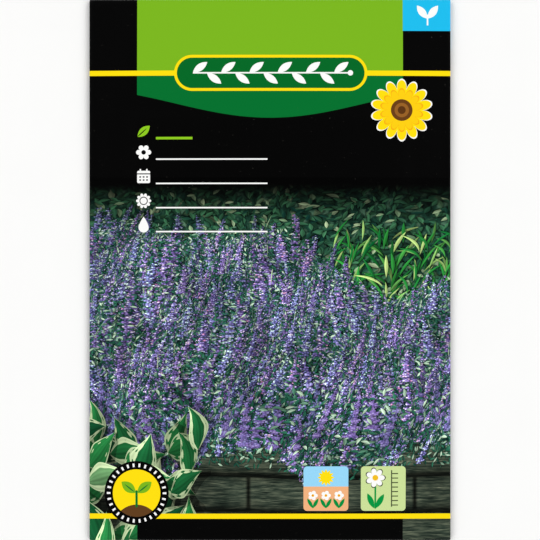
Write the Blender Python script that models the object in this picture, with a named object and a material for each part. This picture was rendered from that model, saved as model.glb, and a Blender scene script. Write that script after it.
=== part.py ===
"""Seed packet lying on its back: one folded sheet of printed paper, an inner bag of foil laminate, and the seeds.

Metres, +Z up. The origin is the middle of the packet's footprint, on the surface that it lies on. The printed front
faces +Z and the top of the packet points to +Y.
"""

import math
import random

import bmesh
import bpy

MM = 0.001

# Envelope: outer size, paper and folds
PACKET_WIDTH = 100.0 * MM
PACKET_HEIGHT = 150.0 * MM
PAPER = 0.15 * MM
LAYER_HALF_GAP = 0.20 * MM  # from the middle plane to the front or back sheet where the packet is flat
SEAM_LAP = 12.0 * MM  # width of the glued lap down the middle of the back
SEAM_GLUE = 0.05 * MM
SEAM_STEP_RUN = 2.5 * MM  # the outer sheet steps under the inner one over this width
FLAP_LENGTH = 13.0 * MM  # both ends fold over to the back by this much
FLAP_SHOULDER = 0.5 * MM  # the flap is quite flat from this far past its fold
FLAP_CLEARANCE = 0.10 * MM  # from the fold's axis to the nearest face of the paper

# The bulge that the inner bag gives the packet
FRONT_BULGE = 1.80 * MM
BACK_BULGE = 0.55 * MM
BULGE_HALF_WIDTH = 48.5 * MM
FRONT_BULGE_HALF_LENGTH = 73.0 * MM
BACK_BULGE_HALF_LENGTH = 59.0 * MM
BULGE_POWER_ACROSS = 2.6
BULGE_POWER_ALONG = 5.0

# Inner bag: one web folded at its foot, sealed on the other three sides
FOIL = 0.10 * MM
BAG_WIDTH = 74.0 * MM
BAG_FOOT = -62.0 * MM
BAG_HEAD = 42.0 * MM
BAG_SEAL = 6.0 * MM
BAG_SEAL_GAP = 0.06 * MM
BAG_BULGE = 1.60 * MM
REST_GAP = 0.30 * MM  # between a loose piece and what it lies on

# Seeds: smooth nutlets lying on their sides
SEED_COUNT = 50
SEED_LENGTH = 1.70 * MM
SEED_WIDTH = 1.15 * MM
SEED_THICKNESS = 0.90 * MM
SEED_HEADROOM = 0.12 * MM  # from the top of a seed to the bag's upper wall
SEED_SPACING = 1.95 * MM
SEED_FIELD_HEAD = 2.0 * MM
SEED_SETTLING = 1.6  # above 1, more of the seeds lie towards the foot of the bag
SEED_SIDES = 6
SEED_RINGS = 4
RANDOM_SEED = 17

# How finely the curved sheets are divided
FRONT_COLUMNS = 14
BACK_COLUMNS = 7
PANEL_ROWS = 14
FOLD_STEPS = 4
BAG_COLUMNS = 12
BAG_ROWS = 13
BAG_FOLD_STEPS = 3

# Sizes that follow from those above
SEAM_STEP = PAPER + SEAM_GLUE
FOLD_NEUTRAL_RADIUS = LAYER_HALF_GAP + SEAM_STEP + PAPER / 2 + FLAP_CLEARANCE
FOLD_OUTER_RADIUS = FOLD_NEUTRAL_RADIUS + LAYER_HALF_GAP + PAPER / 2
FOLD_Y = PACKET_HEIGHT / 2 - FOLD_OUTER_RADIUS
MIDDLE_Z = FOLD_OUTER_RADIUS + FOLD_NEUTRAL_RADIUS
SIDE_X = PACKET_WIDTH / 2 - PAPER / 2 - LAYER_HALF_GAP


def clear_scene():
    for obj in list(bpy.data.objects):
        bpy.data.objects.remove(obj, do_unlink=True)


def make_material(name, colour, roughness, metallic=0.0):
    material = bpy.data.materials.new(name)
    material.use_nodes = True
    shader = material.node_tree.nodes["Principled BSDF"]
    shader.inputs["Base Color"].default_value = (*colour, 1.0)
    shader.inputs["Roughness"].default_value = roughness
    shader.inputs["Metallic"].default_value = metallic
    return material


def spread(first, last, steps):
    """Evenly spaced values from first to last, both included."""
    return [first + (last - first) * i / steps for i in range(steps + 1)]


def smooth_step(value):
    held = min(1.0, max(0.0, value))
    return held * held * (3.0 - 2.0 * held)


def swell(x, y, half_width, half_length):
    """1 in the middle of a bulge, falling to 0 at its edges."""
    across = max(0.0, 1.0 - abs(x / half_width) ** BULGE_POWER_ACROSS)
    along = max(0.0, 1.0 - abs(y / half_length) ** BULGE_POWER_ALONG)
    return across * along


def front_height(x, y):
    """Middle of the front sheet above the packet's middle plane."""
    return LAYER_HALF_GAP + FRONT_BULGE * swell(x, y, BULGE_HALF_WIDTH, FRONT_BULGE_HALF_LENGTH)


def back_height(x, y):
    """Middle of the inner back sheet, below the packet's middle plane."""
    return -LAYER_HALF_GAP - BACK_BULGE * swell(x, y, BULGE_HALF_WIDTH, BACK_BULGE_HALF_LENGTH)


def seam_step(x):
    """How far the outer back sheet has stepped down at x to pass under the inner one."""
    return SEAM_STEP * smooth_step((SEAM_LAP / 2 + SEAM_STEP_RUN - x) / SEAM_STEP_RUN)


def bend_over_ends(x, along, height):
    """Place of a point of the flat tube once both ends are folded over to the back."""
    end = math.copysign(1.0, along)
    past = abs(along) - FOLD_Y
    if past <= 0.0:
        return x, along, MIDDLE_Z + height
    radius = FOLD_NEUTRAL_RADIUS + height
    angle = min(math.pi, past / FOLD_NEUTRAL_RADIUS)
    flat = past - angle * FOLD_NEUTRAL_RADIUS
    y = FOLD_Y + radius * math.sin(angle) - flat
    return x, end * y, FOLD_OUTER_RADIUS + radius * math.cos(angle)


def tube_profile():
    """The sheet's stations round the tube, from its inner seam edge to its outer one, as functions of y."""
    stations = []

    def sheet_station(x, height):
        stations.append(lambda y: (x, height(x, y)))

    def fold_station(side, angle):
        x = side * (SIDE_X + LAYER_HALF_GAP * math.cos(angle))
        stations.append(lambda y: (x, LAYER_HALF_GAP * math.sin(angle)))

    def outer_back(x, y):
        return back_height(x, y) - seam_step(x)

    for x in spread(SEAM_LAP / 2, -SIDE_X, BACK_COLUMNS):
        sheet_station(x, back_height)
    for angle in spread(-math.pi / 2, math.pi / 2, FOLD_STEPS)[1:-1]:
        fold_station(-1.0, angle)
    for x in spread(-SIDE_X, SIDE_X, FRONT_COLUMNS):
        sheet_station(x, front_height)
    for angle in spread(math.pi / 2, -math.pi / 2, FOLD_STEPS)[1:-1]:
        fold_station(1.0, angle)
    step_start = SEAM_LAP / 2 + SEAM_STEP_RUN
    for x in spread(SIDE_X, step_start, BACK_COLUMNS - 2)[:-1]:
        sheet_station(x, outer_back)
    for x in (step_start, step_start - SEAM_STEP_RUN / 2, SEAM_LAP / 2, 0.0, -SEAM_LAP / 2):
        sheet_station(x, outer_back)
    return stations


def tube_rows():
    """Stations along the sheet, from the foot flap's free end to the head flap's."""
    fold = math.pi * FOLD_NEUTRAL_RADIUS
    head = [FOLD_Y + step for step in spread(0.0, fold, FOLD_STEPS)[1:]]
    head += [FOLD_Y + fold + FLAP_SHOULDER, FOLD_Y + fold + FLAP_LENGTH]
    foot = [-along for along in reversed(head)]
    return foot + spread(-FOLD_Y, FOLD_Y, PANEL_ROWS) + head


def sheet_mesh(name, rows):
    """An open sheet of quads from rows of points."""
    width = len(rows[0])
    mesh = bmesh.new()
    points = [mesh.verts.new(point) for row in rows for point in row]
    for i in range(len(rows) - 1):
        for j in range(width - 1):
            corner = i * width + j
            mesh.faces.new(
                (points[corner], points[corner + 1], points[corner + width + 1], points[corner + width])
            )
    made = bpy.data.meshes.new(name)
    mesh.to_mesh(made)
    mesh.free()
    return made


def sheet_object(name, rows, thickness, material):
    """A folded sheet with its real thickness, from the points of its middle surface."""
    obj = bpy.data.objects.new(name, sheet_mesh(name, rows))
    bpy.context.scene.collection.objects.link(obj)
    obj.data.materials.append(material)
    obj.data.shade_smooth()
    obj.data.set_sharp_from_angle(angle=math.radians(50.0))
    solidify = obj.modifiers.new("Thickness", "SOLIDIFY")
    solidify.thickness = thickness
    solidify.offset = 0.0
    return obj


def make_envelope():
    paper = make_material("printed_paper", (0.10, 0.12, 0.10), 0.45)
    profile = tube_profile()
    rows = []
    for along in tube_rows():
        flat = [station(along) for station in profile]
        rows.append([bend_over_ends(x, along, height) for x, height in flat])
    return sheet_object("paper_envelope", rows, PAPER, paper)


def bag_swell(x, y):
    """1 in the middle of the inner bag, 0 at the inner edges of its seals."""
    middle = (BAG_FOOT + BAG_HEAD) / 2
    half_length = (BAG_HEAD - BAG_FOOT) / 2 - BAG_SEAL
    return swell(x, y - middle, BAG_WIDTH / 2 - BAG_SEAL, half_length)


def bag_lower_height(x, y):
    """Middle of the bag's lower wall, which rests on the back of the envelope."""
    return back_height(x, y) + PAPER / 2 + REST_GAP + FOIL / 2


def bag_upper_height(x, y):
    return bag_lower_height(x, y) + FOIL + BAG_SEAL_GAP + BAG_BULGE * bag_swell(x, y)


def make_inner_bag():
    foil = make_material("foil_laminate", (0.78, 0.79, 0.80), 0.32, metallic=0.9)
    columns = spread(-BAG_WIDTH / 2, BAG_WIDTH / 2, BAG_COLUMNS)
    radius = (FOIL + BAG_SEAL_GAP) / 2
    bands = (
        spread(BAG_HEAD, BAG_HEAD - BAG_SEAL, 1)[:-1]
        + spread(BAG_HEAD - BAG_SEAL, BAG_FOOT + BAG_SEAL, BAG_ROWS - 2)
        + [BAG_FOOT + radius]
    )
    rows = [[(x, y, MIDDLE_Z + bag_upper_height(x, y)) for x in columns] for y in bands]
    for angle in spread(math.pi / 2, -math.pi / 2, BAG_FOLD_STEPS)[1:-1]:
        y = BAG_FOOT + radius - radius * math.cos(angle)
        lift = radius + radius * math.sin(angle)
        rows.append([(x, y, MIDDLE_Z + bag_lower_height(x, y) + lift) for x in columns])
    for y in reversed(bands):
        rows.append([(x, y, MIDDLE_Z + bag_lower_height(x, y)) for x in columns])
    return sheet_object("foil_inner_bag", rows, FOIL, foil)


def seed_mesh():
    """One nutlet: an egg-shaped body with a slightly pointed base."""
    mesh = bmesh.new()
    bmesh.ops.create_uvsphere(mesh, u_segments=SEED_SIDES, v_segments=SEED_RINGS, radius=0.5)
    for vertex in mesh.verts:
        taper = 1.0 - 0.35 * vertex.co.z
        x, y, z = vertex.co
        vertex.co = (z * SEED_LENGTH, x * SEED_WIDTH * taper, y * SEED_THICKNESS * taper)
    made = bpy.data.meshes.new("nutlet")
    mesh.to_mesh(made)
    mesh.free()
    made.shade_smooth()
    return made


def room_for_seed(x, y):
    """Whether the bag stands open far enough at this place for a seed to lie in it."""
    room = bag_upper_height(x, y) - bag_lower_height(x, y) - FOIL
    return room >= REST_GAP + SEED_THICKNESS + SEED_HEADROOM


def scattered_places(draw):
    """Seed centres in the lower half of the bag, kept a seed's length apart."""
    places = []
    while len(places) < SEED_COUNT:
        x = draw.uniform(-BAG_WIDTH / 2, BAG_WIDTH / 2)
        y = BAG_FOOT + (SEED_FIELD_HEAD - BAG_FOOT) * draw.random() ** SEED_SETTLING
        apart = all(math.hypot(x - px, y - py) >= SEED_SPACING for px, py in places)
        if apart and room_for_seed(x, y):
            places.append((x, y))
    return places


def make_seeds():
    brown = make_material("seed_coat", (0.09, 0.045, 0.02), 0.5)
    draw = random.Random(RANDOM_SEED)
    shared = seed_mesh()
    shared.materials.append(brown)
    for number, (x, y) in enumerate(scattered_places(draw), start=1):
        seed = bpy.data.objects.new(f"seed_{number:02d}", shared)
        bpy.context.scene.collection.objects.link(seed)
        wall_top = MIDDLE_Z + bag_lower_height(x, y) + FOIL / 2
        seed.location = (x, y, wall_top + REST_GAP + SEED_THICKNESS / 2)
        seed.rotation_euler = (0.0, 0.0, draw.uniform(0.0, 2.0 * math.pi))


def main():
    clear_scene()
    make_envelope()
    make_inner_bag()
    make_seeds()


main()
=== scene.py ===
import math

import bpy
import numpy as np
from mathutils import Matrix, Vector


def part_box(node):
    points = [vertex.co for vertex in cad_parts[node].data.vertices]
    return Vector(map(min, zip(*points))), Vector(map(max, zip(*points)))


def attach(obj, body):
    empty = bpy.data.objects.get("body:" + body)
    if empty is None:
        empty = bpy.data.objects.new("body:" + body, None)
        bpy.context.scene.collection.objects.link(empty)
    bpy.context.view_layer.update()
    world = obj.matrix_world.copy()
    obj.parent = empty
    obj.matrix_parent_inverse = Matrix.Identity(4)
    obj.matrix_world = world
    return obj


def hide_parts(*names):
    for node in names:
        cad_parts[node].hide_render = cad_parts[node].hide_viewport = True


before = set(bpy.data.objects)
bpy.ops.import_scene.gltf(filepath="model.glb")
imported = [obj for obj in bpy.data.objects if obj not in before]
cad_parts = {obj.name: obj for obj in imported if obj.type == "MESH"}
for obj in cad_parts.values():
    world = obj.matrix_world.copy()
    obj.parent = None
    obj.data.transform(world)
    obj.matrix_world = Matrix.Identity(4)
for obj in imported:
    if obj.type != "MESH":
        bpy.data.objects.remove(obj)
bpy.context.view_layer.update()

mm = 0.001
scene = bpy.context.scene

# small helpers for meshes and node trees


def addObject(name, mesh):
    obj = bpy.data.objects.new(name, mesh)
    scene.collection.objects.link(obj)
    return obj


class Value:  # a node's output; working something out with it adds nodes to its tree
    def __init__(self, socket):
        self.socket = socket
        self.tree = socket.id_data

    def __add__(self, other):
        return calc("ADD", self, other)

    def __sub__(self, other):
        return calc("SUBTRACT", self, other)

    def __rsub__(self, other):
        return calc("SUBTRACT", other, self)

    def __mul__(self, other):
        return calc("MULTIPLY", self, other)

    def __truediv__(self, other):
        return calc("DIVIDE", self, other)

    def __pow__(self, other):
        return calc("POWER", self, other)

    def __lt__(self, other):
        return calc("LESS_THAN", self, other)

    def __gt__(self, other):
        return calc("GREATER_THAN", self, other)

    def __abs__(self):
        return calc("ABSOLUTE", self)


def plug(socket, value):
    if isinstance(value, Value):
        value.tree.links.new(value.socket, socket)
    else:
        socket.default_value = (*value, 1.0) if socket.type == "RGBA" else value


def addNode(kind, *values, **settings):  # in the tree of the first value that comes from a node
    tree = next(value.tree for value in values if isinstance(value, Value))
    node = tree.nodes.new(kind)
    for name, setting in settings.items():
        setattr(node, name, setting)
    for socket, value in zip(node.inputs, values):
        plug(socket, value)
    return node


def isVector(value):
    if isinstance(value, Value):
        return value.socket.type in ("VECTOR", "RGBA")
    return isinstance(value, tuple)


def calc(operation, *values):  # on vectors and colours as well as on numbers
    if not any(isVector(value) for value in values):
        return Value(addNode("ShaderNodeMath", *values, operation=operation).outputs[0])
    if operation == "MULTIPLY" and not isVector(values[1]):
        node = addNode("ShaderNodeVectorMath", values[0], operation="SCALE")
        plug(node.inputs["Scale"], values[1])
        return Value(node.outputs["Vector"])
    spread = [(value,) * 3 if isinstance(value, (int, float)) else value for value in values]
    node = addNode("ShaderNodeVectorMath", *spread, operation=operation)
    return Value(node.outputs["Value" if operation in ("LENGTH", "DISTANCE") else "Vector"])


def combine(x, y, z=0.0):
    return Value(addNode("ShaderNodeCombineXYZ", x, y, z).outputs[0])


def separate(vector):
    return [Value(socket) for socket in addNode("ShaderNodeSeparateXYZ", vector).outputs]


def turn(vector, angle):  # about z, in radians
    node = addNode("ShaderNodeVectorRotate", vector, rotation_type="Z_AXIS")
    plug(node.inputs["Angle"], angle)
    return Value(node.outputs[0])


def mix(amount, under, over):
    node = addNode("ShaderNodeMix", amount, data_type="RGBA")
    plug(node.inputs[6], under)
    plug(node.inputs[7], over)
    return Value(node.outputs[2])


def paint(colour, *layers):  # each layer is a shape and what fills it
    for shape, filling in layers:
        colour = mix(shape, colour, filling)
    return colour


def remap(value, fromLow, fromHigh, toLow=0.0, toHigh=1.0, smooth=False):
    kind = "SMOOTHSTEP" if smooth else "LINEAR"
    node = addNode("ShaderNodeMapRange", value, fromLow, fromHigh, toLow, toHigh, interpolation_type=kind)
    return Value(node.outputs[0])


def noise(place, scale, detail=2.0):
    node = addNode("ShaderNodeTexNoise", place)
    node.inputs["Scale"].default_value = scale
    node.inputs["Detail"].default_value = detail
    return Value(node.outputs[0])


def cells(place, scale):  # distance to the nearest cell's middle, and a random colour for that cell
    node = addNode("ShaderNodeTexVoronoi", place, voronoi_dimensions="2D")
    node.inputs["Scale"].default_value = scale
    return Value(node.outputs["Distance"]), Value(node.outputs["Color"])


def ramp(value, *stops):
    node = addNode("ShaderNodeValToRGB", value)
    band = node.color_ramp.elements
    while len(band) < len(stops):
        band.new(0.5)
    for element, (place, colour) in zip(band, stops):
        element.position = place
        element.color = (*colour, 1.0)
    return Value(node.outputs[0])


def ink(red, green, blue):  # a screen colour, 0 to 255, as the light it reflects
    parts = (red / 255, green / 255, blue / 255)
    return tuple(((part + 0.055) / 1.055) ** 2.4 if part > 0.04 else part / 12.92 for part in parts)


def newMaterial(name):
    material = bpy.data.materials.new(name)
    material.use_nodes = True
    return material, material.node_tree, material.node_tree.nodes["Principled BSDF"]


def emboss(shader, height, strength, distance):  # fine relief of the surface, the distance in metres
    node = height.tree.nodes.new("ShaderNodeBump")
    for label, value in (("Height", height), ("Strength", strength), ("Distance", distance)):
        plug(node.inputs[label], value)
    plug(shader.inputs["Normal"], Value(node.outputs[0]))


def newGroup(name, inputs):
    group = bpy.data.node_groups.new(name, "ShaderNodeTree")
    for label, kind, value in inputs:
        socket = group.interface.new_socket(label, in_out="INPUT", socket_type="NodeSocket" + kind)
        if value is not None:
            socket.default_value = (*value, 1.0) if kind == "Color" else value
    group.interface.new_socket("Color", in_out="OUTPUT", socket_type="NodeSocketColor")
    given = {socket.name: Value(socket) for socket in group.nodes.new("NodeGroupInput").outputs}
    return group, given, group.nodes.new("NodeGroupOutput").inputs["Color"]


def useGroup(group, **values):
    node = values["Under"].tree.nodes.new("ShaderNodeGroup")
    node.node_tree = group
    for label, value in values.items():
        plug(node.inputs[label], value)
    return Value(node.outputs[0])


# the folded sheet of the envelope

sheet = {
    "thickness": 0.15 * mm,
    "halfGap": 0.20 * mm,  # from the middle plane to the front or back where the packet is flat
    "seamLap": 12.0 * mm,
    "seamGlue": 0.05 * mm,
    "seamRun": 2.5 * mm,
    "flapLength": 13.0 * mm,
    "flapClearance": 0.10 * mm,
    "frontBulge": 1.80 * mm,
    "backBulge": 0.55 * mm,
    "bulgeHalfWidth": 48.5 * mm,
    "frontHalfLength": 73.0 * mm,
    "backHalfLength": 59.0 * mm,
    "powerAcross": 2.6,
    "powerAlong": 5.0,
    "mesh": 1.25 * mm,
    "foldSteps": 8,
    "endSteps": 10,
}
bag = {
    "foil": 0.10 * mm,
    "width": 74.0 * mm,
    "foot": -62.0 * mm,
    "head": 42.0 * mm,
    "seal": 6.0 * mm,
    "sealGap": 0.06 * mm,
    "bulge": 1.60 * mm,
    "restGap": 0.30 * mm,
    "mesh": 0.8 * mm,
    "foldSteps": 6,
    "ribPitch": 3.2 * mm,
    "ribDepth": 0.06 * mm,
    "creaseDepth": 0.10 * mm,
}
lowest, highest = (np.array(corner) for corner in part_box("paper_envelope"))
packetWidth, packetHeight = (highest - lowest)[:2]
seamStep = sheet["thickness"] + sheet["seamGlue"]
foldRadius = sheet["halfGap"] + seamStep + sheet["thickness"] / 2 + sheet["flapClearance"]
outerRadius = foldRadius + sheet["halfGap"] + sheet["thickness"] / 2
foldY = packetHeight / 2 - outerRadius
middleZ = outerRadius + foldRadius
sideX = packetWidth / 2 - sheet["thickness"] / 2 - sheet["halfGap"]
foldArc = math.pi * sheet["halfGap"]
seedNodes = sorted(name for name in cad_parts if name.startswith("seed_"))
seedMiddles = np.array([(np.array(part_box(n)[0]) + np.array(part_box(n)[1])) / 2 for n in seedNodes])


def smoothStep(value):
    held = np.clip(value, 0.0, 1.0)
    return held * held * (3.0 - 2.0 * held)


def swell(x, y, halfWidth, halfLength):
    across = np.maximum(0.0, 1.0 - np.abs(x / halfWidth) ** sheet["powerAcross"])
    along = np.maximum(0.0, 1.0 - np.abs(y / halfLength) ** sheet["powerAlong"])
    return across * along


def backHeight(x, y):
    bulge = sheet["backBulge"] * swell(x, y, sheet["bulgeHalfWidth"], sheet["backHalfLength"])
    return -sheet["halfGap"] - bulge


relief = {
    "bagStep": 0.10 * mm,  # the front sinks this much past the edge of the inner bag
    "bagStepRun": 2.2 * mm,
    "pucker": 0.05 * mm,
    "seedBump": 0.035 * mm,
    "seedSpread": 1.5 * mm,
}


def frontRelief(x, y):  # never above zero, so the sheet stays under the swell's own height
    acrossBag = smoothStep((np.abs(x) - bag["width"] / 2) / relief["bagStepRun"])
    fromBagMiddle = np.abs(y - (bag["head"] + bag["foot"]) / 2)
    alongBag = smoothStep((fromBagMiddle - (bag["head"] - bag["foot"]) / 2) / relief["bagStepRun"])
    step = relief["bagStep"] * np.maximum(acrossBag, alongBag)
    waves = np.sin(x / (7.3 * mm) + 1.9 * np.sin(y / (19.0 * mm))) * np.sin(y / (11.0 * mm) + 0.6)
    pucker = relief["pucker"] * (0.5 + 0.5 * waves)
    bumps = np.zeros_like(x)
    for seedX, seedY, seedZ in seedMiddles:
        bumps = bumps + np.exp(-((x - seedX) ** 2 + (y - seedY) ** 2) / relief["seedSpread"] ** 2)
    bump = relief["seedBump"] * (1.0 - np.minimum(bumps, 1.0))
    edge = swell(x, y, sheet["bulgeHalfWidth"], sheet["frontHalfLength"])
    return -(step * np.minimum(1.0, 3.0 * edge) + (pucker + bump) * np.minimum(1.0, 2.0 * edge))


def frontHeight(x, y):
    bulge = sheet["frontBulge"] * swell(x, y, sheet["bulgeHalfWidth"], sheet["frontHalfLength"])
    return sheet["halfGap"] + bulge + frontRelief(x, y)


def outerBackHeight(x, y):
    start = sheet["seamLap"] / 2 + sheet["seamRun"]
    return backHeight(x, y) - seamStep * smoothStep((start - x) / sheet["seamRun"])


def tubeStations():  # (height rule or fixed height, x, place across the print) round the tube
    stations = []
    lapEdge = sheet["seamLap"] / 2

    def run(rule, first, last, printAt):
        steps = max(2, round(abs(last - first) / sheet["mesh"]))
        for x in np.linspace(first, last, steps + 1):
            stations.append((rule, x, printAt(x)))

    def fold(side, first, last):
        for angle in np.linspace(first, last, sheet["foldSteps"] + 1)[1:-1]:
            x = side * (sideX + sheet["halfGap"] * math.cos(angle))
            turned = (math.pi / 2 - angle) / math.pi * foldArc
            stations.append((sheet["halfGap"] * math.sin(angle), x, side * (sideX + turned)))

    run(backHeight, lapEdge, -sideX, lambda x: -(2 * sideX + foldArc + x))
    fold(-1.0, -math.pi / 2, math.pi / 2)
    run(frontHeight, -sideX, sideX, lambda x: x)
    fold(1.0, math.pi / 2, -math.pi / 2)
    run(outerBackHeight, sideX, -lapEdge, lambda x: 2 * sideX + foldArc - x)
    return stations


def tubeRows():
    arc = math.pi * foldRadius
    head = list(foldY + np.linspace(0.0, arc, sheet["endSteps"] + 1)[1:])
    flapSteps = round(sheet["flapLength"] / sheet["mesh"])
    head += list(foldY + arc + np.linspace(0.0, sheet["flapLength"], flapSteps + 1)[1:])
    panel = np.linspace(-foldY, foldY, round(2 * foldY / sheet["mesh"]) + 1)
    return np.array([-y for y in reversed(head)] + list(panel) + head)


def bendOverEnds(along, height):
    past = np.abs(along) - foldY
    angle = np.clip(past / foldRadius, 0.0, math.pi)
    flat = np.maximum(0.0, past - angle * foldRadius)
    radius = foldRadius + height
    y = np.where(past <= 0.0, np.abs(along), foldY + radius * np.sin(angle) - flat)
    z = np.where(past <= 0.0, middleZ + height, outerRadius + radius * np.cos(angle))
    return np.copysign(y, along), z


def gridMesh(name, points, printPlaces):  # rows x columns x 3, with the map of the print
    rows, columns = points.shape[:2]
    corner = (np.arange(rows - 1)[:, None] * columns + np.arange(columns - 1)).ravel()
    faces = np.stack([corner, corner + 1, corner + columns + 1, corner + columns], axis=1)
    mesh = bpy.data.meshes.new(name)
    mesh.from_pydata(points.reshape(-1, 3).tolist(), [], faces.tolist())
    layer = mesh.uv_layers.new(name="Sheet")
    flat = printPlaces.reshape(-1, 2)
    layer.data.foreach_set("uv", flat[faces.ravel()].ravel())
    return mesh


def frozen(obj):  # the modifiers' result as a plain mesh
    evaluated = obj.evaluated_get(bpy.context.evaluated_depsgraph_get())
    mesh = bpy.data.meshes.new_from_object(evaluated)
    mesh.name = obj.name
    obj.modifiers.clear()
    obj.data = mesh
    return obj


def thickened(obj, thickness):
    solid = obj.modifiers.new("Thickness", "SOLIDIFY")
    solid.thickness = thickness
    solid.offset = 0.0
    frozen(obj)
    obj.data.shade_smooth()
    obj.data.set_sharp_from_angle(angle=math.radians(50.0))
    return obj


printUnit = 0.1  # one unit of the print's map is this many metres


def sheetCorners(mesh):  # each face corner's place on the flat sheet, in mm
    places = np.zeros(len(mesh.loops) * 2)
    mesh.uv_layers["Sheet"].data.foreach_get("uv", places)
    return places.reshape(-1, 2) * printUnit / mm


def layBakeMap(obj, sideFaces, layout):  # a map with both sides of the sheet and its cut edges laid out apart
    mesh = obj.data
    places = sheetCorners(mesh)
    vertices = np.zeros(len(mesh.loops), dtype=np.int32)
    mesh.loops.foreach_get("vertex_index", vertices)
    outer, inner = slice(0, 4 * sideFaces), slice(4 * sideFaces, 8 * sideFaces)
    low, high = places.min(axis=0), places.max(axis=0)
    pixels = np.zeros_like(places)
    across = np.repeat(places[outer].reshape(-1, 4, 2)[:, :, 0].mean(axis=1), 4)
    for first, last, scale, corner in layout["outer"]:
        held = np.flatnonzero((across >= first) & (across < last))
        start = np.array([max(first, low[0]), low[1]])
        pixels[held] = corner + (places[held] - start) * scale
    scale, corner = layout["inner"]
    pixels[inner] = corner + (places[inner] - low) * scale
    edges = places[8 * sideFaces:].reshape(-1, 4, 2)
    isOuter = (vertices[8 * sideFaces:] < vertices[inner].min()).reshape(-1, 4)
    scale, corner = layout["edges"]
    for axis in (0, 1):  # edges that run across the sheet, then those that run up it
        runs = np.ptp(edges[:, :, axis], axis=1) > 0
        for number, limit in enumerate((low, high)):
            held = runs & (np.abs(edges[:, :, 1 - axis].mean(axis=1) - limit[1 - axis]) < 0.01)
            strip = corner + np.array([0.0, (2 * axis + number) * layout["strip"] * 1.6])
            x = strip[0] + (edges[held][:, :, axis] - low[axis]) * scale
            y = strip[1] + isOuter[held] * layout["strip"]
            rows = np.flatnonzero(np.repeat(held, 4)) + 8 * sideFaces
            pixels[rows] = np.stack([x, y], axis=2).reshape(-1, 2)
    layer = mesh.uv_layers.new(name="OFBake")
    layer.data.foreach_set("uv", (pixels / layout["size"]).ravel())


def makeEnvelope():
    stations = tubeStations()
    rows = tubeRows()
    points = np.zeros((len(rows), len(stations), 3))
    places = np.zeros((len(rows), len(stations), 2))
    for column, (rule, x, across) in enumerate(stations):
        height = rule(np.full_like(rows, x), rows) if callable(rule) else np.full_like(rows, rule)
        y, z = bendOverEnds(rows, height)
        points[:, column] = np.stack([np.full_like(rows, x), y, z], axis=1)
        places[:, column] = np.stack([np.full_like(rows, across), rows], axis=1) / printUnit
    envelope = addObject("envelopePaper", gridMesh("envelopePaper", points, places))
    return thickened(envelope, sheet["thickness"]), (len(rows) - 1) * (len(stations) - 1)


envelope, envelopeFaces = makeEnvelope()
print("envelope sheet folded:", len(envelope.data.polygons), "faces")

# the printed picture: layers of one flower spike or leaf for each cell of a jittered grid


def randomAt(place):
    return Value(addNode("ShaderNodeTexWhiteNoise", place).outputs["Color"])


def cellPlaces(place, given, jitter):  # place in the cell, in mm, and the cell's random numbers
    grid = place / given["Cell"] + given["Draw"]
    column = randomAt(calc("FLOOR", grid) * (1.0, 0.0, 0.0) + given["Draw"])
    shifted = column * (0.0, 1.0, 0.0) + grid
    chances = randomAt(calc("FLOOR", shifted) + given["Draw"])
    middle = chances * jitter + (0.5 - jitter / 2)
    inCell = calc("FRACTION", shifted) - middle
    return inCell * (1.0, 1.0, 0.0) * given["Cell"], chances


def afterUnder(under, place):  # a layer waits for the one under it, or Cycles runs out of stack
    return under * 1e-9 + place


def withinBed(middleX, middleY, given, ragged, chance):  # whether a cell's own middle lies in the bed's box
    waver = chance * ragged
    x = middleX + waver
    y = middleY + waver
    tall = (y < given["Top"]) * (y > given["Bottom"])
    wide = (x < given["Right"]) * (x > given["Left"])
    return tall * wide


bedBox = [
    ("Top", "Float", 200.0),
    ("Bottom", "Float", -200.0),
    ("Left", "Float", -200.0),
    ("Right", "Float", 200.0),
]
spikeInputs = [
    ("Under", "Color", None),
    ("Place", "Vector", None),
    ("Cell", "Vector", (6.4, 13.0, 1.0)),  # the room that one spike has to itself
    ("Draw", "Vector", (1.0, 1.0, 1.0)),
    ("Length", "Float", 10.0),
    ("HalfWidth", "Float", 1.55),
    ("Lean", "Float", 0.5),
    ("Light", "Float", 1.0),
    ("Clump", "Float", 0.44),  # spikes grow only where the bed's slow noise is above this
    ("Relief", "Float", 1.0),  # how strongly one floret stands out from the next
    *bedBox,
]
leafInputs = [
    ("Under", "Color", None),
    ("Place", "Vector", None),
    ("Shade", "Color", ink(8, 44, 38)),
    ("Body", "Color", ink(44, 106, 82)),
    ("Shine", "Color", ink(192, 218, 190)),
    ("Cell", "Vector", (2.1, 2.1, 1.0)),  # the room that one leaf has to itself
    ("Draw", "Vector", (1.0, 1.0, 1.0)),
    ("Length", "Float", 1.6),
    ("Width", "Float", 0.5),
    ("Angle", "Float", 1.57),
    ("Spread", "Float", 6.28),
    ("Fan", "Float", 0.0),  # how far the leaves of a tuft turn away from its middle
    ("Arch", "Float", 0.0),  # how much a leaf bends over towards the side it leans to
    ("Light", "Float", 1.0),
    ("Shining", "Float", 0.78),
    *bedBox,
]
coolPetals = (
    (0.0, ink(44, 50, 84)),
    (0.25, ink(84, 88, 138)),
    (0.55, ink(114, 116, 176)),
    (0.78, ink(146, 158, 204)),
    (0.9, ink(198, 224, 220)),
    (1.0, ink(70, 136, 110)),
)
rosyPetals = (
    (0.0, ink(66, 52, 104)),
    (0.25, ink(102, 86, 147)),
    (0.55, ink(132, 110, 179)),
    (0.8, ink(161, 143, 201)),
    (0.93, ink(216, 202, 228)),
    (1.0, ink(188, 112, 160)),
)
farFlecks = (
    (0.0, ink(10, 26, 26)),
    (0.2, ink(24, 62, 50)),
    (0.38, ink(58, 112, 88)),
    (0.45, ink(150, 196, 172)),
    (0.52, ink(62, 84, 96)),
    (0.66, ink(98, 104, 146)),
    (0.8, ink(140, 138, 184)),
    (1.0, ink(204, 222, 222)),
)
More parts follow.
